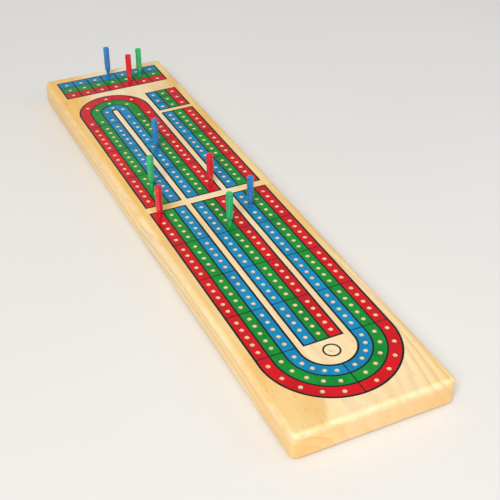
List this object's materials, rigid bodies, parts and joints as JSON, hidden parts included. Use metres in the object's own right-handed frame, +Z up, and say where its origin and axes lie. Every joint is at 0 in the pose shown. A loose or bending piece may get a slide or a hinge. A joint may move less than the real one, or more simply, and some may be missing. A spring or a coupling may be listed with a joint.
{
  "type": "folding cribbage board",
  "caption": "Folding wooden peg board in two hinged halves, with a printed track of three coloured lanes, drilled peg holes, a games strip and standing pegs.",
  "frame": {"origin": "middle of the fold, on the plane that the feet stand on", "axes": "+Y along the board to the far end, +X across the lanes, +Z up out of the playing face"},
  "size_m": [0.086, 0.378, 0.0393],
  "materials": {
    "far_wood": "satin varnish",
    "near_wood": "satin varnish",
    "red_ink": "printed ink film under varnish",
    "green_ink": "printed ink film under varnish",
    "blue_ink": "printed ink film under varnish",
    "line_ink": "printed ink film under varnish",
    "hinge_brass": "brass plated",
    "pin_brass": "brass plated",
    "screw_brass": "brass plated",
    "foot_rubber": "matte",
    "magnet_plating": "nickel plated",
    "red_plastic": "gloss",
    "green_plastic": "gloss",
    "blue_plastic": "gloss"
  },
  "bodies": {
    "far_half": {"far_board": "far_wood", "far_red_lanes": "red_ink", "far_green_lanes": "green_ink", "far_blue_lanes": "blue_ink", "far_lane_lines": "line_ink", "left_hinge_far_leaf": "hinge_brass", "right_hinge_far_leaf": "hinge_brass", "left_hinge_pin": "pin_brass", "right_hinge_pin": "pin_brass", "far_hinge_screws": "screw_brass", "far_feet": "foot_rubber", "far_magnets": "magnet_plating"},
    "near_half": {"near_board": "near_wood", "near_red_lanes": "red_ink", "near_green_lanes": "green_ink", "near_blue_lanes": "blue_ink", "near_lane_lines": "line_ink", "left_hinge_near_leaf": "hinge_brass", "right_hinge_near_leaf": "hinge_brass", "near_hinge_screws": "screw_brass", "near_feet": "foot_rubber", "near_magnets": "magnet_plating"},
    "red_front_peg": {"red_front_peg": "red_plastic"},
    "red_back_peg": {"red_back_peg": "red_plastic"},
    "red_games_peg": {"red_games_peg": "red_plastic"},
    "green_front_peg": {"green_front_peg": "green_plastic"},
    "green_back_peg": {"green_back_peg": "green_plastic"},
    "green_games_peg": {"green_games_peg": "green_plastic"},
    "blue_front_peg": {"blue_front_peg": "blue_plastic"},
    "blue_back_peg": {"blue_back_peg": "blue_plastic"},
    "blue_games_peg": {"blue_games_peg": "blue_plastic"}
  },
  "joints": [
    {"name": "fold", "type": "hinge", "parent": "far_half", "child": "near_half", "pos_m": [0, 0, 0.0011], "axis": [1, 0, 0], "range_deg": [0, 180]},
    {"name": "red_front_lift", "type": "slide", "parent": "far_half", "child": "red_front_peg", "axis": [0, 0, 1], "range_m": [-0.0012, 0.03]},
    {"name": "red_back_lift", "type": "slide", "parent": "near_half", "child": "red_back_peg", "axis": [0, 0, 1], "range_m": [-0.0006, 0.03]},
    {"name": "red_games_lift", "type": "slide", "parent": "far_half", "child": "red_games_peg", "axis": [0, 0, 1], "range_m": [-0.0012, 0.03]},
    {"name": "green_front_lift", "type": "slide", "parent": "near_half", "child": "green_front_peg", "axis": [0, 0, 1], "range_m": [-0.001, 0.03]},
    {"name": "green_back_lift", "type": "slide", "parent": "far_half", "child": "green_back_peg", "axis": [0, 0, 1], "range_m": [-0.0014, 0.03]},
    {"name": "green_games_lift", "type": "slide", "parent": "far_half", "child": "green_games_peg", "axis": [0, 0, 1], "range_m": [-0.0004, 0.03]},
    {"name": "blue_front_lift", "type": "slide", "parent": "far_half", "child": "blue_front_peg", "axis": [0, 0, 1], "range_m": [-0.0016, 0.03]},
    {"name": "blue_back_lift", "type": "slide", "parent": "near_half", "child": "blue_back_peg", "axis": [0, 0, 1], "range_m": [0, 0.03]},
    {"name": "blue_games_lift", "type": "slide", "parent": "far_half", "child": "blue_games_peg", "axis": [0, 0, 1], "range_m": [-0.002, 0.03]}
  ]
}
